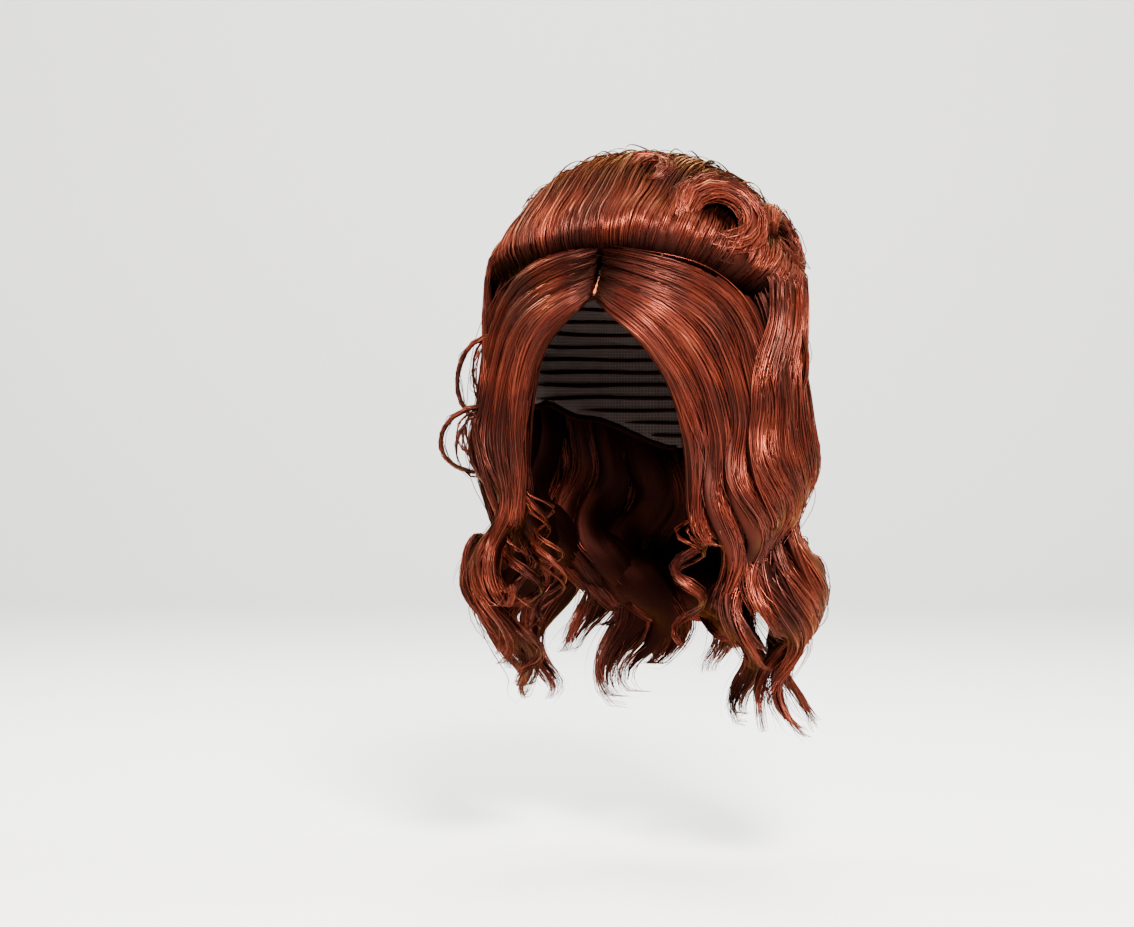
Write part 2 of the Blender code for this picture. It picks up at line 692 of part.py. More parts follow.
def main():
    for old in list(bpy.data.objects):
        bpy.data.objects.remove(old)
    wig = collection("wavy_wig")
    cutters = collection("cutters")
    cutters.hide_render = True

    make_cap(wig)
    make_parting(wig)
    groups = {sector.piece: make_locks(sector, wig, cutters) for sector in SECTORS}
    crown = make_crown(wig, cutters)
    for number, row in enumerate(CROWN_CURLS, 1):
        make_curl(f"crown_curl_{number}", row, crown, wig, cutters)
    for number, row in enumerate(RINGLETS, 1):
        host = groups[LOCKS[row.lock].piece]
        make_loose(f"ringlet_{number}", ringlet_path(row), RINGLET_THICKNESS, host, wig, cutters)
    for number, row in enumerate(TENDRILS, 1):
        host = groups[LOCKS[row.lock].piece]
        make_loose(f"tendril_{number}", tendril_path(row), TENDRIL_THICKNESS, host, wig, cutters)

    for piece in wig.objects:
        piece.data.shade_smooth()
        piece.data.set_sharp_from_angle(angle=radians(CREASE_ANGLE))
    for cutter in list(cutters.objects):
        bpy.data.objects.remove(cutter)


main()
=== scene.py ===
from collections import namedtuple
from math import cos, pi, radians, sin, tau

import bpy
import numpy as np
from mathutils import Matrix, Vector


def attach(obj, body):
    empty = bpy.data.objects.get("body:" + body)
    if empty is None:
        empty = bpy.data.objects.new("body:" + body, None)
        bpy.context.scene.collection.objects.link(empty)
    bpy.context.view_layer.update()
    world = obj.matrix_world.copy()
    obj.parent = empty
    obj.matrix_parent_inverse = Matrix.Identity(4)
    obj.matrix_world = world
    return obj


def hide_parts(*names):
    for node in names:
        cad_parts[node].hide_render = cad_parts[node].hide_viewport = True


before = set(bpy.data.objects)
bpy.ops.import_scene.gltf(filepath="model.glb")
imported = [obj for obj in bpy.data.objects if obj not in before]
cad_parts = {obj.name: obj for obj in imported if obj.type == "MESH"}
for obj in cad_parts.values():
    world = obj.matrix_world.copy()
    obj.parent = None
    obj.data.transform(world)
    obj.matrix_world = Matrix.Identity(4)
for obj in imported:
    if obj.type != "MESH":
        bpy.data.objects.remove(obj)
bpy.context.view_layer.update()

# A long wavy wig of glossy auburn fibre on a net cap. The solids give the form of each group of locks;
# here each group becomes thousands of fibres laid along the same lines, over a core darkened with painted
# shade.
# Metres, +Z up. The face looks along -Y. Azimuth 0 is the front and 90 the wearer's left.


# the camera and the stage

view = {
    "azimuth": 22,  # degrees round from the front
    "elevation": 1.5,
    "distance": 2.1,
    "lens": 87,
    "aimAside": -0.052,  # the wig stands right of the picture's middle
    "aimHeight": -0.160,
}
stage = {
    "floor": -0.47,
    "size": 9.0,
    "wallBehind": 2.6,
    "bend": 0.8,
    "colour": (0.80, 0.80, 0.79),
    "lampAim": -0.12,  # the height that the lamps point at
}


def aimed(azimuth, elevation):
    turn, rise = radians(azimuth), radians(elevation)
    return Vector((sin(turn) * cos(rise), -cos(turn) * cos(rise), sin(rise)))


def makeCamera():
    outward = aimed(view["azimuth"], view["elevation"])
    sideways = aimed(view["azimuth"] + 90, 0)
    target = sideways * view["aimAside"] + Vector((0, 0, view["aimHeight"]))
    data = bpy.data.cameras.new("camera")
    data.lens = view["lens"]
    data.clip_end = 30
    camera = bpy.data.objects.new("camera", data)
    camera.location = target + outward * view["distance"]
    camera.rotation_euler = (-outward).to_track_quat("-Z", "Y").to_euler()
    bpy.context.scene.collection.objects.link(camera)
    bpy.context.scene.camera = camera


makeCamera()


# shader sockets that can be added and multiplied

class Signal:
    def __init__(self, graph, socket):
        self.graph = graph
        self.socket = socket

    def math(self, operation, *others, clamp=False):
        settings = {"operation": operation, "use_clamp": clamp}
        return self.graph.node("ShaderNodeMath", settings, dict(enumerate((self,) + others)))

    def __add__(self, other):
        return self.math("ADD", other)

    def __mul__(self, other):
        return self.math("MULTIPLY", other)

    def __sub__(self, other):
        return self.math("SUBTRACT", other)

    def __rsub__(self, other):
        return self.graph.node("ShaderNodeMath", {"operation": "SUBTRACT"}, {0: other, 1: self})

    def __pow__(self, other):
        return self.math("POWER", other)

    __radd__ = __add__
    __rmul__ = __mul__

    def clamped(self):
        return self.math("ADD", 0.0, clamp=True)


class Finish:
    def __init__(self, name, **constants):
        self.material = bpy.data.materials.new(name)
        self.material.use_nodes = True
        self.tree = self.material.node_tree
        self.shader = self.tree.nodes["Principled BSDF"]
        for name, value in constants.items():
            self.shader.inputs[name.replace("_", " ")].default_value = value

    def node(self, kind, settings=None, inputs=None, output=0):
        made = self.tree.nodes.new(kind)
        for name, value in (settings or {}).items():
            if name == "stops":
                while len(made.color_ramp.elements) < len(value):
                    made.color_ramp.elements.new(0.5)
                for element, (place, colour) in zip(made.color_ramp.elements, value):
                    element.position = place
                    element.color = (*colour, 1)
            else:
                setattr(made, name, value)
        for name, value in (inputs or {}).items():
            self.feed(made.inputs[name], value)
        return Signal(self, made.outputs[output])

    def feed(self, socket, value):
        if isinstance(value, Signal):
            self.tree.links.new(value.socket, socket)
        else:
            socket.default_value = value

    def mixed(self, factor, first, second):
        inputs = {0: factor, 6: first, 7: second}
        return self.node("ShaderNodeMix", {"data_type": "RGBA"}, inputs, output=2)

    def scaled(self, vector, factors):
        return self.node("ShaderNodeVectorMath", {"operation": "MULTIPLY"}, {0: vector, 1: factors})

    def noise(self, vector, scale, detail=2.0, roughness=0.5):
        inputs = {"Vector": vector, "Scale": scale, "Detail": detail, "Roughness": roughness}
        return self.node("ShaderNodeTexNoise", {}, inputs)

    def spread(self, value, low, high):
        # a value's low to high range stretched to 0 to 1
        inputs = {"Value": value, "From Min": low, "From Max": high}
        return self.node("ShaderNodeMapRange", {"clamp": True}, inputs)

    def paint(self, name, value):
        self.feed(self.shader.inputs[name], value)

    def bumped(self, height, strength, distance):
        inputs = {"Strength": strength, "Distance": distance, "Height": height}
        self.paint("Normal", self.node("ShaderNodeBump", {}, inputs))


fibre = {
    "paintedShade": (0.0035, 0.0010, 0.0008),  # painted shade, deep between the locks
    "deep": (0.050, 0.0105, 0.0085),
    "shade": (0.085, 0.0115, 0.0072),
    "body": (0.175, 0.0265, 0.0130),
    "copper": (0.530, 0.1330, 0.0560),
    "toneShare": 0.60,  # how much of its lightness a strand has by itself
    "streakShare": 0.46,
    "patchShare": 0.42,
    "darker": 0.46,
    "shadeFalloff": 1.6,  # how fast the shade between strands closes in
    "roughness": 0.50,  # in the shade
    "glossier": 0.26,  # how much less it is on open strands
    "streakRoughness": 0.16,
    "metallic": 0.76,
    "lineWidth": 0.00100,  # of the fine fibres drawn on bodies and strands
    "lineLength": 0.030,
    "bump": 0.60,
    "bumpHeight": 0.0002,
    "patches": 24.0,  # of shade that neighbouring strands share, a metre
}


def fibreFinish():
    # tone, cover and lines are written on every strand: its own lightness, set lower on inner strands and
    # bodies as painted shade;
    # how far it lies out of the lock's painted shade; and the metres across it and along it
    made = Finish("auburn_fibre", Specular_Tint=(1.0, 0.66, 0.46, 1), Specular_IOR_Level=0.8)
    tone = made.node("ShaderNodeAttribute", {"attribute_name": "tone"}, output=2)
    cover = made.node("ShaderNodeAttribute", {"attribute_name": "cover"}, output=2)
    lines = made.node("ShaderNodeAttribute", {"attribute_name": "lines"}, output=1)
    stretched = made.scaled(lines, (1 / fibre["lineWidth"], 1 / fibre["lineLength"], 1.0))
    streak = made.noise(stretched, 1.0, detail=3.0, roughness=0.6)
    place = made.node("ShaderNodeTexCoord", {}, output=3)
    patch = made.spread(made.noise(place, fibre["patches"], detail=1.5), 0.36, 0.64)
    light = tone * fibre["toneShare"] + streak * fibre["streakShare"]
    light = light + patch * fibre["patchShare"] - fibre["darker"]
    stops = [(0.0, fibre["deep"]), (0.26, fibre["shade"]), (0.58, fibre["body"]), (1.0, fibre["copper"])]
    colour = made.node("ShaderNodeValToRGB", {"stops": stops}, {0: light.clamped()})
    # painted shade: where cover is low the colour goes to near black, and the gloss darkens with it
    shown = cover ** fibre["shadeFalloff"]
    gloss = fibre["roughness"] - shown * fibre["glossier"] + streak * fibre["streakRoughness"]
    made.paint("Base Color", made.mixed(shown, (*fibre["paintedShade"], 1), colour))
    made.paint("Roughness", gloss)
    made.paint("Metallic", 1 - shown * (1 - fibre["metallic"]))
    made.bumped(made.noise(stretched, 1.0, detail=2.0), fibre["bump"], fibre["bumpHeight"])
    return made.material


net = {
    # the net's own dark colour, made darker still as painted shade inside the wig
    "colour": (0.007, 0.0035, 0.0028),
    "thread": (0.032, 0.015, 0.011),
    "mesh": 0.0024,
    "threadWidth": 0.30,
    "radius": 0.085,  # of the head, to turn the angle round it into metres
    "bump": 0.7,
    "bumpHeight": 0.0006,
}


def netFinish():
    # crossed threads in squares, worked out from the angle round the head and the height
    made = Finish("cap_net", Roughness=0.85)
    place = made.node("ShaderNodeTexCoord", {}, output=3)
    split = made.node("ShaderNodeSeparateXYZ", {}, {0: place})
    x, y, z = (Signal(made, split.socket.node.outputs[k]) for k in range(3))
    around = x.math("ARCTAN2", y) * (net["radius"] / net["mesh"])
    threads = []
    for way in (around, z * (1 / net["mesh"])):
        fromMiddle = (way.math("FRACT") - 0.5).math("ABSOLUTE")
        threads.append((1 - fromMiddle * 2).math("LESS_THAN", net["threadWidth"]))
    mesh = threads[0].math("MAXIMUM", threads[1])
    made.paint("Base Color", made.mixed(mesh, (*net["colour"], 1), (*net["thread"], 1)))
    made.bumped(mesh, net["bump"], net["bumpHeight"])
    return made.material


weave = {
    "dark": (0.42, 0.090, 0.032),
    "pale": (0.60, 0.17, 0.070),
    "root": (0.20, 0.03, 0.012),
    "grain": 900.0,  # dots a metre
    "bump": 0.4,
    "bumpHeight": 0.0004,
}


def scalpFinish():
    # the parting's woven strip: warm orange-red, with the roots of the fibres as dots
    made = Finish("parting_weave", Roughness=0.6)
    place = made.node("ShaderNodeTexCoord", {}, output=3)
    grain = made.noise(place, weave["grain"])
    dots = made.node("ShaderNodeTexVoronoi", {}, {"Vector": place, "Scale": weave["grain"]})
    root = made.spread(dots, 0.22, 0.40)
    base = made.mixed(grain, (*weave["dark"], 1), (*weave["pale"], 1))
    made.paint("Base Color", made.mixed(root, (*weave["root"], 1), base))
    made.bumped(grain, weave["bump"], weave["bumpHeight"])
    return made.material


def wallFinish():
    made = Finish("backdrop", Roughness=0.9)
    made.paint("Base Color", (*stage["colour"], 1))
    return made.material


auburn = fibreFinish()
print("finishes ready")


def makeStage():
    # a floor that bends up into a wall behind the wig, square to the camera
    outward = aimed(view["azimuth"], 0)
    sideways = aimed(view["azimuth"] + 90, 0)
    profile = [(stage["size"] / 2, 0.0)]
    for k in range(13):
        turn = radians(90 * k / 12)
        back = -stage["wallBehind"] - stage["bend"] * sin(turn)
        profile.append((back, stage["bend"] * (1 - cos(turn))))
    profile.append((profile[-1][0], stage["size"] / 2))
    points, faces = [], []
    for reach, height in profile:
        for side in (-1, 1):
            point = outward * reach + sideways * (side * stage["size"] / 2)
            points.append((point.x, point.y, stage["floor"] + height))
    for k in range(len(profile) - 1):
        faces.append((2 * k, 2 * k + 1, 2 * k + 3, 2 * k + 2))
    mesh = bpy.data.meshes.new("backdrop")
    mesh.from_pydata(points, [], faces)
    mesh.shade_smooth()
    mesh.materials.append(wallFinish())
    sheet = bpy.data.objects.new("backdrop", mesh)
    bpy.context.scene.collection.objects.link(sheet)


makeStage()

Lamp = namedtuple("Lamp", "name azimuth elevation distance size power colour")
lamps = [
    Lamp("key", 32, 36, 1.9, 0.50, 265, (1.0, 0.95, 0.90)),
    Lamp("side", 118, 38, 2.0, 0.50, 24, (1.0, 0.96, 0.92)),
    Lamp("rim_left", -108, 40, 1.9, 0.50, 34, (1.0, 0.97, 0.95)),
    Lamp("rim_back", 196, 46, 1.9, 0.60, 40, (1.0, 0.97, 0.95)),
]
backWash = {  # lights the wall alone
    "power": 170,
    "size": 3.0,
    "behind": 0.9,
    "height": 1.9,
    "tilt": 0.9,
}
surround = {
    "colour": (0.92, 0.95, 1.0),
    "strength": 0.19,
}


def makeLights():
    for row in lamps:
        data = bpy.data.lights.new(row.name, "AREA")
        data.shape = "SQUARE"
        data.size = row.size
        data.energy = row.power
        data.color = row.colour
        lamp = bpy.data.objects.new(row.name, data)
        outward = aimed(row.azimuth, row.elevation)
        lamp.location = outward * row.distance + Vector((0, 0, stage["lampAim"]))
        lamp.rotation_euler = (-outward).to_track_quat("-Z", "Y").to_euler()
        bpy.context.scene.collection.objects.link(lamp)
    wash = bpy.data.lights.new("wall_wash", "AREA")
    wash.size = backWash["size"]
    wash.energy = backWash["power"]
    lamp = bpy.data.objects.new("wall_wash", wash)
    outward = aimed(view["azimuth"], 0)
    lamp.location = outward * -backWash["behind"] + Vector((0, 0, backWash["height"]))
    away = outward + Vector((0, 0, backWash["tilt"]))
    lamp.rotation_euler = away.to_track_quat("Z", "Y").to_euler()
    bpy.context.scene.collection.objects.link(lamp)
    world = bpy.data.worlds.new("studio")
    world.use_nodes = True
    background = world.node_tree.nodes["Background"]
    background.inputs["Color"].default_value = (*surround["colour"], 1)
    background.inputs["Strength"].default_value = surround["strength"]
    bpy.context.scene.world = world


makeLights()


# the head, the crown and the lines that locks follow, as in the solids

head = {
    "width": 0.150,
    "depth": 0.190,
    "height": 0.078,  # from the crown down to the widest level
}
crown = {
    "width": 0.228,
    "front": 0.094,
    "back": 0.118,
    "rise": 0.073,
    "depth": 0.104,
    "setBack": 0.020,
    "creaseHeight": -0.002,
    "creaseSlope": 0.25,
    "partingBack": 0.045,
}
hair = {
    "drop": 0.395,
    "waveLength": 0.112,
    "waveHeight": 0.013,
    "waveOut": 0.80,
    "waveStart": 0.085,
    "lockWidth": 0.040,
    "lockThickness": 0.017,
    "rootFlatness": 0.36,
    "turn": 0.045,
}


def ease(share):
    share = np.clip(share, 0.0, 1.0)
    return share * share * (3 - 2 * share)


def unit(vectors):
    length = np.linalg.norm(vectors, axis=-1, keepdims=True)
    return vectors / np.maximum(length, 1e-9)


def heading(path):
    return unit(np.gradient(path, axis=0))


def squareTo(ways, ahead):
    # the part of each way that is square to where the path goes
    return unit(ways - ahead * np.sum(ways * ahead, -1, keepdims=True))


def acrossPath(path, out):
    return unit(np.cross(heading(path), out))


def levelOut(points):
    return unit(points * (1, 1, 0))


def turned(out):
    # a way turned a quarter to the side, level
    return np.stack([-out[..., 1], out[..., 0], np.zeros_like(out[..., 0])], -1)


def bezier(bends, count):
    # a cubic curve on four points, without its two ends
    t = np.linspace(0, 1, count)[1:-1, None]
    curve = bends[0] * (1 - t) ** 3 + 3 * bends[1] * t * (1 - t) ** 2
    return curve + 3 * bends[2] * t * t * (1 - t) + bends[3] * t ** 3


def scalp(azimuth, depth, lift):
    turn = np.radians(azimuth)
    up = np.clip(1 - depth / head["height"], 0.0, None)
    out = np.sqrt(1 - up * up)
    way = np.stack([out * np.sin(turn), -out * np.cos(turn), up], -1)
    half = np.array([head["width"] / 2, head["depth"] / 2, head["height"]])
    point = way * half
    point[..., 2] = -depth
    return point + unit(way / half) * np.asarray(lift)[..., None]


def fromHead(points):
    up = np.clip(points[..., 2] + head["height"], 0.0, None) / head["height"] ** 2
    x = points[..., 0] / (head["width"] / 2) ** 2
    y = points[..., 1] / (head["depth"] / 2) ** 2
    return unit(np.stack([x, y, up], -1))


crownCentre = np.array([0.0, crown["setBack"], crown["rise"] - crown["depth"]])


def crownHalf(y):
    reach = np.where(y < 0, crown["front"], crown["back"])
    return np.stack([np.full_like(reach, crown["width"] / 2), reach, np.full_like(reach, crown["depth"])], -1)


def crownPoint(way, lift):
    return crownCentre + way * (crownHalf(way[..., 1]) + np.asarray(lift)[..., None])


def fromCrown(points):
    away = points - crownCentre
    return unit(away / crownHalf(away[..., 1]) ** 2)


def creaseHeight(y):
    return crown["creaseHeight"] - crown["creaseSlope"] * (y + crown["partingBack"])


def evenly(path, count):
    # the path's points again, at equal distances
    steps = np.linalg.norm(np.diff(path, axis=0), axis=1)
    reach = np.concatenate([[0.0], np.cumsum(steps)])
    wanted = np.linspace(0, reach[-1], count)
    return np.stack([np.interp(wanted, reach, path[:, k]) for k in range(3)], -1)


# bodies and strands: closed tubes along a lock's line, gathered into one mesh for each node

def skin(index, after):
    # the faces between each line of points and the one after it, where axis 1 runs along the lines
    corners = [index[:, :-1], after[:, :-1], after[:, 1:], index[:, 1:]]
    return np.stack(corners, -1).reshape(-1, 4)


class Tress:
    def __init__(self, name, seed):
        self.name = name
        self.rng = np.random.default_rng(seed)
        self.points, self.quads, self.caps = [], [], []
        self.tone, self.cover, self.lines = [], [], []
        self.count = 0

    def tubes(self, centres, outward, halfWidth, halfThick, tone, cover, sides=3, ribs=None):
        # centres is (tubes, stations, 3), and the sizes and cover are (tubes, stations)
        many, stations, _ = centres.shape
        ahead = unit(np.gradient(centres, axis=1))
        face = squareTo(outward, ahead)
        across = np.cross(ahead, face)
        turns = tau * (np.arange(sides) + 0.25 * sides / 3) / sides - pi / 2
        swell = np.ones((many, stations, sides)) if ribs is None else ribs
        wide = halfWidth[..., None] * np.cos(turns) * swell
        deep = halfThick[..., None] * np.sin(turns) * swell
        ring = centres[:, :, None] + across[:, :, None] * wide[..., None] + face[:, :, None] * deep[..., None]
        index = self.count + np.arange(many * stations * sides).reshape(many, stations, sides)
        self.points.append(ring.reshape(-1, 3))
        self.quads.append(skin(index, np.roll(index, -1, axis=2)))
        self.caps.append(index[:, 0, ::-1].reshape(-1, sides))
        self.caps.append(index[:, -1].reshape(-1, sides))
        steps = np.linalg.norm(np.diff(centres, axis=1), axis=2)
        run = np.concatenate([np.zeros((many, 1)), np.cumsum(steps, axis=1)], axis=1)
        shape = (many, stations, sides)
        own = self.rng.uniform(0, 50, (many, 1, 1))
        girth = (halfWidth.max(axis=1) + halfThick.max(axis=1))[:, None, None] / 2
        girth = girth * (ribbed["streaks"] if sides > 4 else 1)
        around = np.broadcast_to(girth * (turns + pi / 2), shape) + own
        along = np.broadcast_to(run[..., None], shape) + own
        self.lines.append(np.stack([around, along, own + around * 0], -1).reshape(-1, 3))
        self.tone.append(np.broadcast_to(tone[:, None, None], shape).ravel())
        # painted shade: a body is darker on its side towards the head
        facing = cover[..., None] * (0.62 + 0.38 * np.sin(turns)) if sides > 4 else cover[..., None]
        self.cover.append(np.broadcast_to(facing, shape).ravel())
        self.count += many * stations * sides

    def build(self, node):
        points = np.concatenate(self.points)
        quads = np.concatenate(self.quads)
        caps = [list(face) for block in self.caps for face in block]
        mesh = bpy.data.meshes.new(self.name)
        mesh.from_pydata(points, [], quads.tolist() + caps)
        for name, kind, values in (
            ("tone", "FLOAT", np.concatenate(self.tone)),
            ("cover", "FLOAT", np.concatenate(self.cover)),
            ("lines", "FLOAT_VECTOR", np.concatenate(self.lines).ravel()),
        ):
            held = mesh.attributes.new(name, kind, "POINT")
            held.data.foreach_set("value" if kind == "FLOAT" else "vector", values.astype(np.float32))
        mesh.shade_smooth()
        mesh.materials.append(auburn)
        piece = bpy.data.objects.new(self.name, mesh)
        bpy.context.scene.collection.objects.link(piece)
        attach(piece, "root")
        if node:
            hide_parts(node)
        print(self.name, "triangles", 2 * len(quads) + sum(len(c) - 2 for c in caps))
        return piece


strand = {
    "halfWidth": 0.00085,
    "halfThick": 0.00038,
    "fine": 0.00036,  # half width of the thinnest
    "step": 0.0106,  # mean distance between stations
    "taper": 0.12,  # share of its length over which a strand thins at its tip
}
ribbed = {
    "sides": 26,
    "step": 0.0085,
    "depth": 0.075,  # how far the ribs stand out, as a share of the size
    "inset": 0.93,
    "taper": 0.16,  # share of the length over which a body draws in to its end
    "streaks": 0.60,  # the streaks on a body are wider than on a strand
}


def between(values, start, end, stations, crowding=1.0):
    # a line's values at places between two shares of its length, one row for each strand
    share = start[:, None] + (end - start)[:, None] * np.linspace(0, 1, stations) ** crowding
    place = share * (len(values) - 1)
    low = np.clip(place.astype(int), 0, len(values) - 2)
    rest = (place - low)[..., None]
    return values[low] * (1 - rest) + values[low + 1] * rest, share


class Line:
    # a lock's middle line, with the ways out of it and across it, its half sizes and its shade
    def __init__(self, path, out, across, wide, thick, shade=None):
        self.path, self.out, self.across = path, out, across
        self.sizes = np.stack([wide, thick, np.ones(len(path)) if shade is None else shade], -1)
        self.length = np.linalg.norm(np.diff(path, axis=0), axis=1).sum()


def body(tress, line, tone=0.34, cover=0.62, end=0.95, sides=None):
    # the closed, ribbed body of a lock, just inside its outer strands. Its low tone and cover paint it in the
    # lock's shade.
    sides = sides or ribbed["sides"]
    stations = max(10, int(line.length / ribbed["step"]))
    one = np.zeros(1)
    centres, share = between(line.path, one, one + end, stations)
    out, _ = between(line.out, one, one + end, stations)
    sizes, _ = between(line.sizes, one, one + end, stations)
    rng = tress.rng
    phase = rng.uniform(0, tau, (2, sides))
    rate = rng.uniform(0.3, 1.6, (2, sides))
    away = rng.normal(0, 0.6, sides)
    ribs = away + np.sin(tau * rate[0] * share[0][:, None] + phase[0]) * 0.6
    tip = 1 - 0.90 * ease((share - end + ribbed["taper"]) / ribbed["taper"])
    grown = (ribbed["inset"] + ribbed["depth"] * ribs[None]) * tip[..., None]
    tress.tubes(
        centres, out, sizes[..., 0], sizes[..., 1], np.array([tone]), cover * sizes[..., 2], sides, ribs=grown
    )


laying = {
    "start": 0.0,  # share of the lock's length at which strands begin
    "late": 0.02,  # and by how much later some do
    "low": -0.05,  # the part of the section that they take, where 0.25 is outward
    "high": 0.55,
    "near": 0.93,  # distance from the middle line, in the lock's half sizes
    "far": 1.10,
    "twist": 0.12,
    "wander": 0.0008,
    "stray": 0.08,  # share of them that wanders further
    "ragged": 0.10,  # share of the length by which tips end early
    "clumps": 6,
    "drawn": 0.65,  # how far each clump has drawn together at the tip
    "crowding": 0.80,  # under 1 stations draw closer towards the tip, over 1 towards the root
    "fine": 0.40,  # share of them that is thin
}


def lay(tress, line, count, tone, **changed):
    # strands round a lock's body, by the rules above and those that the call changes
    rules = {**laying, **changed}
    rng = tress.rng
    stations = max(8, int(line.length * (1.0 - rules["start"]) / strand["step"]))
    start = rules["start"] + rng.uniform(0, rules["late"], count)
    end = 1.0 - rules["ragged"] * rng.uniform(0, 1, count) ** 2
    parts = [
        between(values, start, end, stations, rules["crowding"])
        for values in (line.path, line.out, line.across, line.sizes)
    ]
    (middle, share), (out, _), (side, _), (sizes, _) = parts
    group = rng.integers(0, rules["clumps"], count)
    spot = rng.uniform(rules["low"], rules["high"], count)
    home = rng.uniform(rules["low"], rules["high"], rules["clumps"])[group]
    drawn = rules["drawn"] * ease((share - 0.45) / 0.5)
    turn = tau * (spot[:, None] * (1 - drawn) + home[:, None] * drawn + rules["twist"] * share)
    hold = rng.uniform(rules["near"], rules["far"], count)[:, None]
    a = hold * np.cos(turn)
    b = hold * np.sin(turn)
    stray = rng.uniform(0, 1, count) < rules["stray"]
    reach = np.where(stray, rng.uniform(2.5, 6.0, count), 1.0) * rules["wander"]
    waves = rng.uniform(1.0, 2.6, (2, count, 1))
    shift = rng.uniform(0, tau, (2, count, 1))
    grow = ease(share * 3) * (1 + 2.0 * ease((share - 0.75) / 0.25))
    swayA = reach[:, None] * np.sin(tau * waves[0] * share + shift[0]) * grow
    swayB = reach[:, None] * np.sin(tau * waves[1] * share + shift[1]) * grow
    aside = (a * sizes[..., 0] + swayA)[..., None]
    proud = (b * sizes[..., 1] + swayB)[..., None]
    centres = middle + side * aside + out * proud
    fine = rng.uniform(0, 1, count) < rules["fine"]
    base = np.where(fine | stray, strand["fine"], strand["halfWidth"] * rng.uniform(0.7, 1.3, count))
    thin = 1 - 0.85 * ease((share - end[:, None] + strand["taper"]) / strand["taper"])
    rise = 0.45 + 0.55 * ease((share - start[:, None]) * 12)
    halfWidth = base[:, None] * thin * rise
    halfThick = np.minimum(halfWidth, strand["halfThick"])
    facing = side * np.cos(turn)[..., None] + out * np.sin(turn)[..., None]
    # painted shade: strands towards the head are darker, times the line's own painted shade
    shade = np.clip(0.66 + 0.34 * np.sin(turn), 0.25, 1.0) * sizes[..., 2]
    own = rng.normal(0, 0.10, rules["clumps"])[group] + rng.normal(0, 0.12, count)
    tress.tubes(centres, facing, halfWidth, halfThick, np.clip(tone + own, 0, 1.1), shade)


# the hanging locks

Lock = namedtuple("Lock", "piece root hang start turn rootLift lift tip width wave phase")
locks = [
    Lock("front_panel_left", 2, 56, 0.420, 0.80, 0.040, 0.10, 0.58, 0.62, 0.30, 0.30),
    Lock("front_panel_left", 2, 64, 0.330, 0.58, 0.045, 0.15, 0.74, 0.80, 0.55, 0.36),
    Lock("front_panel_left", 3, 72, 0.240, 0.40, 0.070, 0.20, 0.86, 0.95, 0.80, 0.42),
    Lock("front_panel_left", 4, 79, 0.160, 0.28, 0.130, 0.26, 0.80, 1.00, 0.90, 0.52),
    Lock("side_locks_left", 92, 92, 0.30, 0.30, 0.24, 0.27, 0.93, 1.05, 1.00, 0.66),
    Lock("side_locks_left", 104, 101, 0.32, 0.30, 0.25, 0.30, 1.00, 1.05, 1.15, 0.79),
    Lock("side_locks_left", 114, 109, 0.34, 0.30, 0.25, 0.34, 0.88, 1.00, 1.10, 0.90),
    Lock("side_locks_left", 125, 119, 0.36, 0.30, 0.24, 0.28, 0.96, 1.00, 1.00, 0.00),
    Lock("back_locks_left", 139, 138, 0.40, 0.30, 0.22, 0.20, 0.88, 1.10, 1.00, 0.15),
    Lock("back_locks_left", 154, 152, 0.44, 0.30, 0.21, 0.16, 0.95, 1.10, 1.00, 0.30),
    Lock("back_locks_left", 170, 169, 0.46, 0.30, 0.20, 0.14, 0.90, 1.15, 1.00, 0.45),
    Lock("front_panel_right", -2, -54, 0.420, 0.74, 0.040, 0.08, 0.55, 0.62, 0.30, 0.20),
    Lock("front_panel_right", -2, -61, 0.340, 0.54, 0.045, 0.15, 0.72, 0.80, 0.70, 0.08),
    Lock("front_panel_right", -3, -68, 0.245, 0.40, 0.070, 0.19, 0.84, 0.95, 1.10, 0.98),
    Lock("front_panel_right", -4, -76, 0.160, 0.28, 0.130, 0.24, 0.80, 1.00, 1.35, 0.90),
    Lock("side_locks_right", -92, -90, 0.30, 0.30, 0.24, 0.25, 0.86, 1.05, 1.00, 0.90),
    Lock("side_locks_right", -104, -100, 0.32, 0.30, 0.25, 0.26, 0.93, 1.05, 1.20, 0.94),
    Lock("side_locks_right", -114, -110, 0.34, 0.30, 0.25, 0.25, 0.84, 1.00, 1.00, 0.84),
    Lock("side_locks_right", -125, -121, 0.36, 0.30, 0.24, 0.23, 0.92, 1.00, 1.00, 0.74),
    Lock("back_locks_right", -139, -138, 0.40, 0.30, 0.22, 0.19, 0.86, 1.10, 1.00, 0.66),
    Lock("back_locks_right", -154, -153, 0.44, 0.30, 0.21, 0.16, 0.94, 1.10, 1.00, 0.56),
    Lock("back_locks_right", -170, -169, 0.46, 0.30, 0.20, 0.14, 0.89, 1.15, 1.00, 0.46),
]


def lockPath(lock, sway=1.0, steps=241):
    start = lock.start * head["height"]
    end = lock.tip * hair["drop"]
    share = np.linspace(0, 1, steps)
    depth = start + (end - start) * share * (0.35 + 0.65 * share)
    fallen = depth - start
    azimuth = lock.root + (lock.hang - lock.root) * (1 - np.exp(-fallen / (lock.turn * hair["turn"])))
    lift = lock.rootLift + (lock.lift - lock.rootLift) * ease(fallen / hair["waveLength"])
    middle = scalp(azimuth, depth, lift * head["width"])
    out = levelOut(middle)
    aside = turned(out)
    swell = ease((fallen - hair["waveStart"]) / hair["waveLength"]) * lock.wave * hair["waveHeight"] * sway
    turn = tau * (fallen / hair["waveLength"] + lock.phase)
    swung = aside * (swell * np.sin(turn))[:, None] + out * (hair["waveOut"] * swell * np.cos(turn))[:, None]
    return evenly(middle + swung, steps)


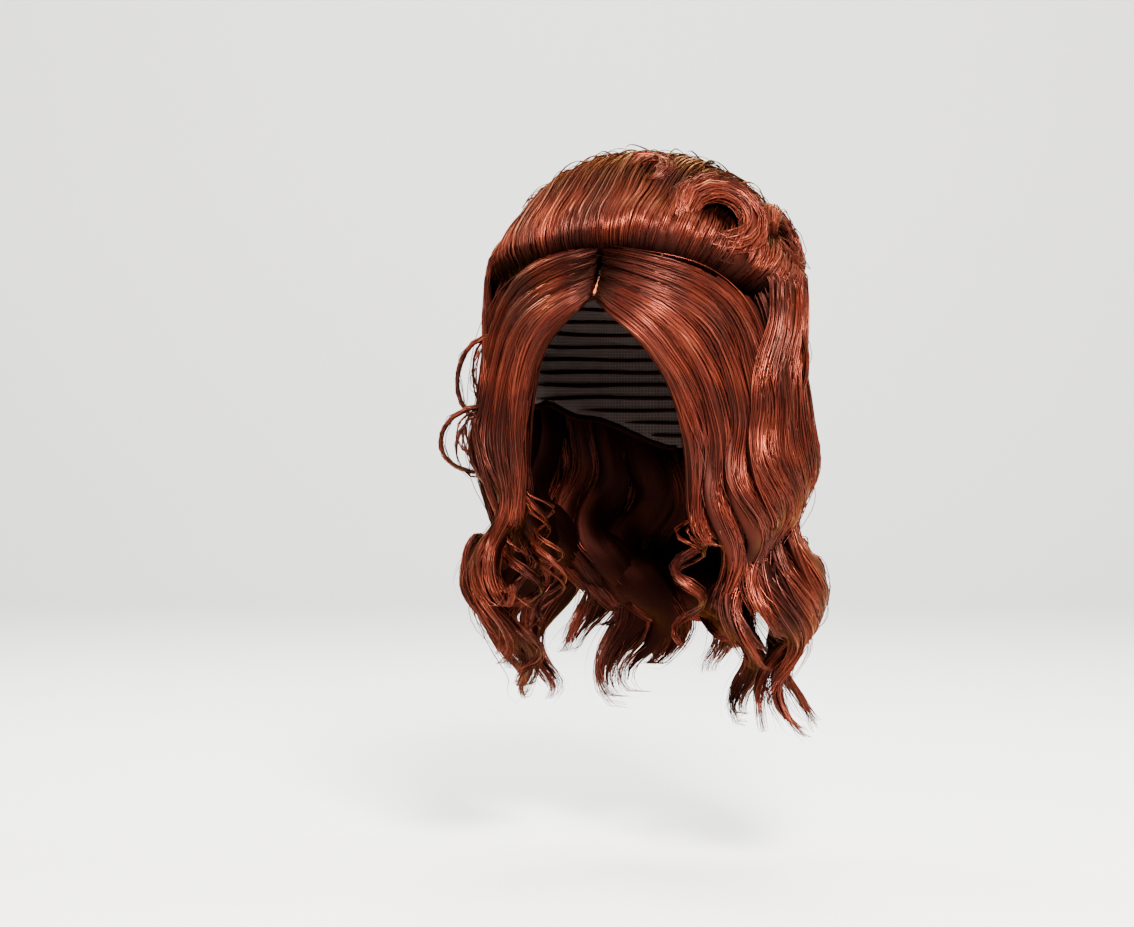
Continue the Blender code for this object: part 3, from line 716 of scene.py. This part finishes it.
def lockSizes(lock, steps=241):
    share = np.linspace(0, 1, steps)
    wide = lock.width * hair["lockWidth"] / 2 * (0.80 + 0.20 * ease(share * 4))
    wide = wide * (1 - 0.72 * ease((share - 0.62) / 0.38))
    flat = hair["rootFlatness"] if lock.piece.startswith("front") else 1.0
    rising = flat + (1 - flat) * ease(share * 5)
    thick = hair["lockThickness"] / 2 * rising * (1 - 0.55 * ease((share - 0.55) / 0.45))
    return wide, thick


def lockFrame(path):
    # the ways across and out of a lock at each point; its sections turn level soon after the root
    ahead = heading(path)
    out = fromHead(path)
    face = squareTo(out, ahead)
    across = np.cross(ahead, face)
    aside = unit(turned(out))
    aside = aside * np.sign(np.sum(aside * across, -1, keepdims=True))
    level = ease(np.linspace(0, 1, len(path)) / 0.4)[:, None]
    return unit(face * (1 - level) + out * level), unit(across * (1 - level) + aside * level)


CrownCurl = namedtuple("CrownCurl", "azimuth elevation outer inner turns start way width")
crownCurls = [
    CrownCurl(52, 29, 0.145, 0.066, 1.30, 215, -1, 1.00),
    CrownCurl(20, 60, 0.085, 0.046, 0.85, 170, -1, 0.62),
    CrownCurl(98, 22, 0.105, 0.064, 1.10, 170, -1, 0.80),
]
crossing = {
    "highest": 36,  # elevation on the crown from which the long strands behind start
    "belowCurl": 7,  # and from which those under the side curl do
    "curlReach": 24,  # degrees to each side that the curl lowers them
    "curlBlend": 14,
    "leaves": 0,  # elevation at which they leave the crown and fall free
    "joins": 0.150,  # how far down they have joined their lock
    "sideJoins": 0.118,
    "frontAzimuth": 82,
    "lift": 0.006,
    "strands": 66,
    "width": 1.35,  # of the lock's own
    "thickness": 0.70,
    "turnsFrom": 0.12,  # depth below which strands face out of the head, not the crown
    "turnsOver": 0.08,
}
dressing = {
    "strands": 70,
    "strandsBehind": 47,  # where longer strands from the crown lie over them
    "inner": 10,  # strands on the side towards the head
    "wildStrands": 12,  # single ones that stand away
    "sway": 1.18,  # of the solids' waves
    "betweenSway": 1.35,
    "betweenStrands": 34,
    "betweenIn": 0.055,  # how much nearer the head an in-between lock hangs, as a share of the head's width
    "hookRadius": 0.011,
    "hookTurn": 2.3,
    "hookFrom": 0.90,
}


def hooked(path, radius, bend, way):
    # the path with its end curled round a small circle, towards the way given
    last = int(dressing["hookFrom"] * len(path))
    forward = unit(path[last] - path[last - 4])
    aside = unit(way - forward * np.dot(way, forward))
    turn = np.linspace(0, bend, 60)[1:, None]
    widen = radius * (1.5 - 0.5 * turn / bend)
    hook = path[last] + forward * (widen * np.sin(turn)) + aside * (widen * (1 - np.cos(turn)))
    return evenly(np.concatenate([path[:last + 1], hook]), len(path))


def lockLine(lock, tress, sway):
    path = lockPath(lock, sway)
    out = levelOut(path[-1])
    aside = turned(out) * tress.rng.choice([-1, 1])
    way = unit(aside + out * tress.rng.uniform(-0.6, 0.9))
    radius = dressing["hookRadius"] * tress.rng.uniform(0.7, 1.4)
    path = hooked(path, radius, dressing["hookTurn"] * tress.rng.uniform(0.4, 1.2), way)
    out, across = lockFrame(path)
    wide, thick = lockSizes(lock, len(path))
    # painted shade near the root, under the crown
    shade = 0.45 + 0.55 * ease(np.linspace(0, 1, len(path)) * 12)
    return Line(path, out, across, wide, thick, shade)


def halfway(first, second, rng):
    # a shorter lock between two neighbours, a little nearer the head
    middle = {}
    for name in Lock._fields[1:]:
        middle[name] = (getattr(first, name) + getattr(second, name)) / 2
    gap = (second.phase - first.phase + 0.5) % 1 - 0.5
    middle["phase"] = first.phase + gap / 2 + rng.uniform(-0.08, 0.08)
    middle["tip"] = middle["tip"] * rng.uniform(0.84, 1.0)
    middle["lift"] = middle["lift"] - dressing["betweenIn"]
    return first._replace(width=0.9 * middle.pop("width"), **middle)


def overCrown(lock, line):
    # the lock's line begun higher, on the crown, whose rim it leaves to fall outside the lock
    front = lock.piece.startswith("front")
    azimuth = np.sign(lock.hang) * crossing["frontAzimuth"] if front else lock.root
    fromCurl = abs(azimuth - crownCurls[2].azimuth)
    underCurl = ease((crossing["curlReach"] - fromCurl) / crossing["curlBlend"])
    highest = crossing["highest"] + (crossing["belowCurl"] - crossing["highest"]) * underCurl
    joins = crossing["joins"] if lock.piece.startswith("back") else crossing["sideJoins"]
    rises = np.linspace(highest, min(crossing["leaves"], highest - 8), 60)
    lift = crossing["lift"] * (-0.6 + 1.6 * ease(np.linspace(0, 1.6, 60)))
    shell = crownPoint(np.array([aimed(azimuth, rise) for rise in rises]), lift)
    first = np.argmax(line.path[:, 2] < -joins)
    pull = np.linalg.norm(line.path[first] - shell[-1]) * 0.45
    start, end = shell[-1], line.path[first]
    leaving = unit(shell[-1] - shell[-4])
    arriving = unit(line.path[first - 4] - end)
    fall = bezier([start, start + leaving * pull, end + arriving * pull, end], 40)
    count = len(line.path)
    path = evenly(np.concatenate([shell, fall, line.path[first:]]), count)
    crossed = np.argmax(path[:, 2] < -joins) / count
    share = np.clip((np.linspace(0, 1, count) - crossed) / (1 - crossed), 0, 1)
    share = first / count + share * (1 - first / count)
    sizes = np.stack([np.interp(share, np.linspace(0, 1, count), line.sizes[:, k]) for k in range(2)], -1)
    blend = ease((path[:, 2] + crossing["turnsFrom"]) / crossing["turnsOver"])[:, None]
    face, _ = lockFrame(path)
    face = unit(face * (1 - blend) + fromCrown(path) * blend)
    wide = sizes[:, 0] * crossing["width"]
    return Line(path, face, acrossPath(path, face), wide, sizes[:, 1] * crossing["thickness"]), crossed


parting = {
    "gap": 0.0019,  # half of what shows of the woven strip
    "fold": 0.15,
    "lowest": 0.060,
    "back": 0.030,
}


def openParting(tress, side):
    # hair that would lie across the parting is turned back to its own side
    for points in tress.points:
        near = (points[:, 2] > -parting["lowest"]) & (points[:, 1] < -parting["back"])
        off = parting["gap"] - side * points[:, 0]
        moved = near & (off > 0)
        points[moved, 0] = side * (parting["gap"] + off[moved] * parting["fold"])


def dressLocks(node, seed):
    tress = Tress(node + "_hair", seed)
    rng = tress.rng
    front = node.startswith("front")
    rows = [row for row in locks if row.piece == node]
    for row in rows:
        line = lockLine(row, tress, dressing["sway"])
        body(tress, line)
        lay(tress, line, dressing["strands" if front else "strandsBehind"], 0.46)
        outermost = row is (rows[-1] if front else rows[0])
        if outermost or node.startswith("back"):
            wild = dressing["wildStrands"]
            lay(tress, line, wild, 0.5, wander=0.0036, stray=0, near=1.0, far=1.7, ragged=0.45, fine=1.0)
        # the strands on the side towards the head get a lower tone: painted shade
        inner = dressing["inner"] * (2 if node.startswith("back") else 1)
        lay(tress, line, inner, 0.40, low=0.55, high=0.95)
        if not front or row is rows[-1]:
            longer, crossed = overCrown(row, line)
            if not front:
                # painted shade: a low tone for the body under the crossing strands
                body(tress, longer, tone=0.30, end=crossed + 0.08, sides=20)
            lay(tress, longer, crossing["strands"], 0.46, low=0.0, high=0.5, clumps=9, late=0.09)
    for first, second in zip(rows, rows[1:]):
        line = lockLine(halfway(first, second, rng), tress, dressing["betweenSway"])
        # painted shade: the in-between locks hang nearer the head and get a lower tone and cover
        body(tress, line, tone=0.28, cover=0.5, sides=22)
        lay(tress, line, dressing["betweenStrands"], 0.42)
    if front:
        openParting(tress, np.sign(rows[0].hang))
    return tress.build(node)


for seed, node in enumerate(sorted({row.piece for row in locks}), 11):
    dressLocks(node, seed)
print("hanging locks dressed")


# the crown

CrownLock = namedtuple("CrownLock", "foot footUp middle middleUp end endUp bulge")
rising = [
    CrownLock(-106, -10, -130, 8, -158, -14, 0.001),
    CrownLock(-80, -2, -110, 24, -160, -10, 0.001),
    CrownLock(-56, 6, -98, 44, -164, -4, 0.002),
    CrownLock(-38, 10, -84, 60, -170, 0, 0.003),
    CrownLock(-23, 12, -68, 74, -174, 2, 0.004),
    CrownLock(-10, 14, -36, 84, 178, 2, 0.005),
    CrownLock(2, 14, 74, 84, 172, 2, 0.007),
    CrownLock(12, 13, 82, 70, 166, 0, 0.010),
    CrownLock(26, 10, 80, 54, 158, -2, 0.013),
    CrownLock(40, 6, 84, 38, 150, -6, 0.013),
    CrownLock(54, 2, 92, 26, 144, -10, 0.010),
    CrownLock(72, -2, 104, 14, 138, -14, 0.005),
    CrownLock(92, -6, 116, 4, 136, -18, 0.002),
]
Hollow = namedtuple("Hollow", "azimuth elevation radius depth")
hollows = [
    Hollow(54, 32, 0.017, 0.005),
    Hollow(97, 21, 0.013, 0.004),
    Hollow(20, 60, 0.007, 0.002),
]
bouffant = {
    "bodies": 44,
    "halfWidth": 0.0100,
    "halfThick": 0.0036,
    "groups": 84,
    "groupWidth": 0.0062,
    "groupThick": 0.0024,
    "strands": 10,
    "shellInset": 0.0045,
    "crest": 0.024,  # distance from a line's foot at which it stands out most
    "crestLength": 0.019,
    "dip": 0.058,  # and at which it sinks behind the roll
    "dipDepth": 0.004,
    "fullBulge": 0.013,  # a row of the fan with this bulge sinks the whole depth
    "tuck": 0.006,  # how deep its foot goes into the crease, and how much more where it bulges
    "tuckMore": 0.6,
    "tuckLength": 0.018,
    "darkFoot": 0.026,  # the distance over which a line comes out of the crease's shade
    "topShade": 0.46,  # painted shade: how much darker the crown is past its crest
    "topShadeFrom": 0.045,
    "topShadeOver": 0.05,
    "flyaways": 64,  # single fibres that stand off the crown
    "flyawayReach": (0.002, 0.0045),
    "shellTurns": 64,
    "shellRings": 20,
    "shellAcross": 0.0108,  # metres between the shell's lines, for its streaks
    "shellAlong": 0.007,
    # a low tone and cover paint the shell as the shade under the crown's strands
    "shellTone": 0.15,
    "shellCover": 0.25,
}


def sunken(points):
    # how deep a place lies in the nearest hollow, 0 to 1, and the depth there
    share, depth = np.zeros(len(points)), np.zeros(len(points))
    for row in hollows:
        centre = crownPoint(np.array(aimed(row.azimuth, row.elevation)), 0.0)
        near = np.exp(-(np.linalg.norm(points - centre, axis=1) / row.radius) ** 2)
        share = np.maximum(share, near)
        depth = np.maximum(depth, near * row.depth)
    return share, depth


def crownWay(place, count=141):
    # directions along a line over the crown, between two rows of the fan where place isn't whole
    low = min(int(place), len(rising) - 2)
    rest = place - low
    before, after = rising[low], rising[low + 1]
    knots = []
    for turn, up in (("foot", "footUp"), ("middle", "middleUp"), ("end", "endUp")):
        first = aimed(getattr(before, turn), getattr(before, up))
        second = aimed(getattr(after, turn), getattr(after, up))
        knots.append(np.array(first.lerp(second, rest)))
    t = np.linspace(0, 1, count)[:, None]
    way = knots[0] * ((1 - t) * (1 - 2 * t)) + knots[1] * (4 * t * (1 - t)) + knots[2] * (t * (2 * t - 1))
    bulge = before.bulge * (1 - rest) + after.bulge * rest
    return unit(way), bulge


def crownStretch(place, high, width, thick, crestAt=0.0):
    # one line over the crown, with its lip at the front and the dip behind the roll
    way, bulge = crownWay(place)
    share = np.linspace(0, 1, len(way))
    steps = np.linalg.norm(np.diff(crownPoint(way, share * 0), axis=0), axis=1)
    run = np.concatenate([[0.0], np.cumsum(steps)])
    crest = np.exp(-(((run - bouffant["crest"] - crestAt) / bouffant["crestLength"]) ** 2))
    tuck = bouffant["tuck"] + bouffant["tuckMore"] * bulge
    lift = high + bulge * crest - tuck * (1 - ease(run / bouffant["tuckLength"]))
    behind = np.exp(-(((run - bouffant["dip"]) / bouffant["crestLength"]) ** 2)) * bulge / bouffant["fullBulge"]
    lift = lift - bouffant["dipDepth"] * behind
    flat = crownPoint(way, lift)
    dark, deep = sunken(flat)
    path = crownPoint(way, lift - deep)
    out = fromCrown(path)
    side = acrossPath(path, out)
    wide = width * (0.60 + 0.40 * np.sin(pi * np.minimum(1, share + 0.15)))
    deepness = thick * (1 - 0.5 * ease((share - 0.7) / 0.3)) * (1 - 0.5 * dark)
    # painted shade: dark in the crease at the foot, in the hollows under the curls, in the dip behind the roll
    # and past the crest
    shade = (0.03 + 0.97 * ease(run / bouffant["darkFoot"])) * (1 - 0.72 * dark) * (1 - 0.35 * behind)
    shade = shade * (1 - bouffant["topShade"] * ease((run - bouffant["topShadeFrom"]) / bouffant["topShadeOver"]))
    return Line(path, out, side, wide, deepness, shade)


def crownShell(tress):
    # the body of the crown, closed below along the crease, dark with painted shade from its low tone and cover
    turns, rings = bouffant["shellTurns"], bouffant["shellRings"]
    inset = -bouffant["shellInset"]
    rows = []
    for k in range(turns):
        ways = np.array([aimed(360 * k / turns, rise) for rise in np.linspace(-40, 88, 200)])
        shell = crownPoint(ways, np.full(200, inset))
        above = shell[shell[:, 2] > creaseHeight(shell[:, 1]) + 0.001]
        foot = above[0] * (0.70, 0.70, 1.0) + (0, 0, 0.004)
        rows.append(np.concatenate([[foot], evenly(above, rings)]))
    rows = np.array(rows)
    stations = rows.shape[1]
    index = tress.count + np.arange(turns * stations).reshape(turns, stations)
    tress.points.append(rows.reshape(-1, 3))
    tress.quads.append(skin(index, np.roll(index, -1, axis=0)))
    tress.caps.append([index[:, -1]])
    tress.caps.append([index[::-1, 0]])
    around = np.broadcast_to(np.arange(turns)[:, None] * bouffant["shellAcross"], (turns, stations))
    up = np.broadcast_to(np.arange(stations)[None] * bouffant["shellAlong"], (turns, stations))
    tress.lines.append(np.stack([around, up, up * 0], -1).reshape(-1, 3))
    tress.tone.append(np.full(turns * stations, bouffant["shellTone"]))
    tress.cover.append(np.full(turns * stations, bouffant["shellCover"]))
    tress.count += turns * stations


def dressCrown():
    tress = Tress("crown_hair", 31)
    rng = tress.rng
    crownShell(tress)
    fan = len(rising) - 1
    for place in np.linspace(0, fan, bouffant["bodies"]):
        high = rng.uniform(-0.001, 0.001)
        line = crownStretch(place, high, bouffant["halfWidth"], bouffant["halfThick"])
        # painted shade: the bodies under the strands get a low tone and cover
        body(tress, line, tone=0.28, cover=0.5, sides=12)
    for k in range(bouffant["groups"]):
        place = np.clip(fan * (k + rng.uniform(-0.4, 0.4)) / (bouffant["groups"] - 1), 0, fan)
        high = 0.0030 + rng.uniform(-0.001, 0.0018)
        crestAt = rng.uniform(-0.006, 0.008)
        line = crownStretch(place, high, bouffant["groupWidth"], bouffant["groupThick"], crestAt)
        tone = 0.46 + rng.uniform(-0.10, 0.12)
        ways = {"low": 0.0, "high": 0.5, "near": 0.7, "far": 1.3, "crowding": 1.45}
        lay(tress, line, bouffant["strands"], tone, ragged=0.25, clumps=4, **ways)
    for place in rng.uniform(0, fan, bouffant["flyaways"]):
        line = crownStretch(place, 0.006, 0.004, 0.003)
        start = rng.uniform(0.1, 0.5)
        wander = rng.uniform(*bouffant["flyawayReach"])
        lay(tress, line, 1, 0.5, start=start, wander=wander, near=0.5, stray=0)
    return tress.build("crown_bouffant")


dressCrown()
print("crown dressed")


# curls, ringlets and tendrils

curl = {
    "halfWidth": 0.0115,
    "halfThick": 0.0080,
    "lift": 0.0075,
    "dive": 0.0095,  # how much deeper it starts and ends
    "strands": 90,
}


def dressCurl(number, row):
    tress = Tress(f"crown_curl_{number}_hair", 40 + number)
    foot = crownPoint(np.array(aimed(row.azimuth, row.elevation)), 0.0)
    out = fromCrown(foot)
    east = unit(np.cross([0, 0, 1], out))
    north = np.cross(out, east)
    t = np.linspace(0, 1, 181)
    turn = radians(row.start) + row.way * tau * row.turns * t
    radius = crown["width"] * (row.outer + (row.inner - row.outer) * t)
    aside = east * (radius * np.cos(turn))[:, None]
    upward = north * (radius * np.sin(turn))[:, None]
    there = foot + aside + upward - crownCentre
    sunk = curl["dive"] * (1 - ease(t / 0.16) + ease((t - 0.62) / 0.38)) * row.width
    path = crownPoint(unit(there / crownHalf(there[:, 1])), curl["lift"] * row.width - sunk)
    face = fromCrown(path)
    side = acrossPath(path, face)
    wide = curl["halfWidth"] * row.width * (0.75 + 0.25 * ease(t * 5)) * (1 - 0.45 * ease((t - 0.5) / 0.5))
    thick = curl["halfThick"] * row.width * (1 - 0.4 * ease((t - 0.5) / 0.5))
    # painted shade at the curl's root and towards its hollow middle
    shade = (0.45 + 0.55 * ease(t * 8)) * (1 - 0.6 * ease((t - 0.6) / 0.4))
    line = Line(path, face, side, wide, thick, shade)
    body(tress, line, sides=20)
    lay(tress, line, int(curl["strands"] * row.width), 0.5, low=-0.08, high=0.58, ragged=0.3, clumps=7)
    lay(tress, line, 8, 0.5, wander=0.0030, near=1.0, far=1.3, ragged=0.5, stray=0)
    return tress.build(f"crown_curl_{number}")


for number, row in enumerate(crownCurls, 1):
    dressCurl(number, row)

Ringlet = namedtuple("Ringlet", "lock top drop turns phase drift")
ringlets = [
    Ringlet(11, 0.44, 0.27, 2.2, 0.00, 0.16),
    Ringlet(12, 0.50, 0.33, 2.6, 0.40, 0.10),
    Ringlet(0, 0.46, 0.28, 2.4, 0.50, 0.08),
]
Tendril = namedtuple("Tendril", "lock top swing drop hook")
tendrils = [
    Tendril(14, 0.15, 0.17, 0.17, 1.10),
    Tendril(13, 0.29, 0.22, 0.13, 1.20),
    Tendril(5, 0.12, 0.09, 0.16, 1.10),
]
Loose = namedtuple("Loose", "halfWidth halfThick strands radius companions")
coil = Loose(0.0044, 0.0019, 24, 0.013, 2)
wisp = Loose(0.0046, 0.0016, 24, 0.0, 4)


def rootOf(row):
    path = lockPath(locks[row.lock])
    return path[np.argmax(path[:, 2] <= -row.top * hair["drop"])]


def ringletPath(row):
    root = rootOf(row)
    out = levelOut(root)
    aside = turned(out)
    t = np.linspace(0, 1, 161)
    turn = tau * (row.turns * t + row.phase)
    radius = coil.radius * ease(t * 3) * (1 - 0.25 * t)
    inward = row.drift * head["width"] * ease(t * 2)
    fall = row.drop * hair["drop"] * t
    axis = root - out * inward[:, None] - np.array([0, 0, 1.0]) * fall[:, None]
    return axis + aside * (radius * np.sin(turn))[:, None] + out * (radius * np.cos(turn))[:, None]


def tendrilPath(row):
    root = rootOf(row)
    out = levelOut(root)
    t = np.linspace(0, 1, 121)
    turn = pi * row.hook * t
    swing = row.swing * head["width"] * (np.sin(turn) + 0.4 * t)
    fall = row.drop * hair["drop"] * (1 - np.cos(turn)) / 2
    return root + out * (hair["lockThickness"] * 0.3 + swing)[:, None] - np.array([0, 0, 1.0]) * fall[:, None]


def companionOf(row, rng):
    # a row for a thinner lock that starts elsewhere, ends higher and bends in its own way
    row = row._replace(top=row.top + rng.uniform(-0.02, 0.03), drop=row.drop * rng.uniform(0.70, 1.05))
    if isinstance(row, Ringlet):
        return row._replace(phase=row.phase + rng.uniform(-0.3, 0.3))
    return row._replace(swing=row.swing * rng.uniform(0.4, 0.9), hook=row.hook * rng.uniform(0.7, 1.2))


def dressLoose(name, seed, makePath, row, kind):
    # the lock itself, and thinner companions that part from it
    tress = Tress(name + "_hair", seed)
    rng = tress.rng
    for k in range(kind.companions + 1):
        main = k == 0
        path = evenly(makePath(row if main else companionOf(row, rng)), 161)
        ahead = heading(path)
        face = squareTo(levelOut(path), ahead)
        size = (1 if main else 0.35) * (1 - 0.45 * np.linspace(0, 1, 161))
        line = Line(path, face, np.cross(ahead, face), kind.halfWidth * size, kind.halfThick * size)
        if main:
            body(tress, line, sides=10, end=0.93)
        count = kind.strands if main else max(3, kind.strands // 5)
        lay(tress, line, count, 0.46, low=0.0, high=1.0, twist=0.5, ragged=0.2, clumps=4, wander=0.0006)
    return tress.build(name)


for number, row in enumerate(ringlets, 1):
    dressLoose(f"ringlet_{number}", 50 + number, ringletPath, row, coil)
for number, row in enumerate(tendrils, 1):
    dressLoose(f"tendril_{number}", 60 + number, tendrilPath, row, wisp)
print("curls, ringlets and tendrils dressed")


# the cap and the parting keep their solids, with their own finish; wefts are sewn inside the cap

def refinish(node, finish):
    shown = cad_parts[node]
    shown.data.materials.clear()
    shown.data.materials.append(finish)


refinish("cap", netFinish())
refinish("parting_strip", scalpFinish())

CapEdge = namedtuple("CapEdge", "azimuth drop")
capEdge = [
    CapEdge(0, 0.235),
    CapEdge(40, 0.42),
    CapEdge(75, 0.78),
    CapEdge(92, 0.76),
    CapEdge(125, 0.84),
    CapEdge(180, 1.00),
]
weft = {
    "napeDrop": 0.150,
    "first": 0.040,  # depth of the highest row
    "step": 0.0100,  # and the distance down to the next
    "wave": 0.0004,
    "halfHeight": 0.0016,
    "halfThick": 0.0005,
    "inside": 0.0012,  # how far inside the net it is sewn
    "tone": 0.30,
    "bind": 0.0026,  # half height of the bound edge
}


def edgeDepth(azimuth):
    turns = [row.azimuth for row in capEdge]
    drops = [row.drop for row in capEdge]
    at = np.abs((azimuth + 180) % 360 - 180)
    low = np.clip(np.searchsorted(turns, at, side="right") - 1, 0, len(turns) - 2)
    lowTurn, highTurn = np.take(turns, low), np.take(turns, low + 1)
    share = ease((at - lowTurn) / (highTurn - lowTurn))
    return (np.take(drops, low) * (1 - share) + np.take(drops, low + 1) * share) * weft["napeDrop"]


def sewn(tress, path, halfHeight, halfThick, tone, cover, shade):
    # a flat band along a path on the cap
    out = fromHead(path)
    size = np.ones(len(path))
    line = Line(path, out, acrossPath(path, out), size * halfHeight, size * halfThick, size * shade)
    body(tress, line, tone=tone, cover=cover, end=1.0, sides=8)


def dressCap():
    tress = Tress("cap_wefts", 71)
    rng = tress.rng
    turns = np.linspace(0, 360, 181)
    depth = weft["first"]
    while depth < weft["napeDrop"] - 0.006:
        wave = weft["wave"] * np.sin(np.radians(turns * 5) + rng.uniform(0, tau))
        held = turns[edgeDepth(turns) > depth + 0.004]
        path = scalp(held, depth + np.interp(held, turns, wave), np.full(len(held), -weft["inside"]))
        # painted shade: cover and shade darken the wefts inside the cap
        sewn(tress, path, weft["halfHeight"], weft["halfThick"], weft["tone"], 0.6, 0.55)
        depth += weft["step"]
    ring = np.linspace(-180, 180, 241)
    path = scalp(ring, edgeDepth(ring), np.full(len(ring), 0.0005))
    # painted shade on the bound edge too
    sewn(tress, path, weft["bind"], weft["bind"] * 0.6, 0.2, 0.5, 0.5)
    return tress.build(None)


dressCap()
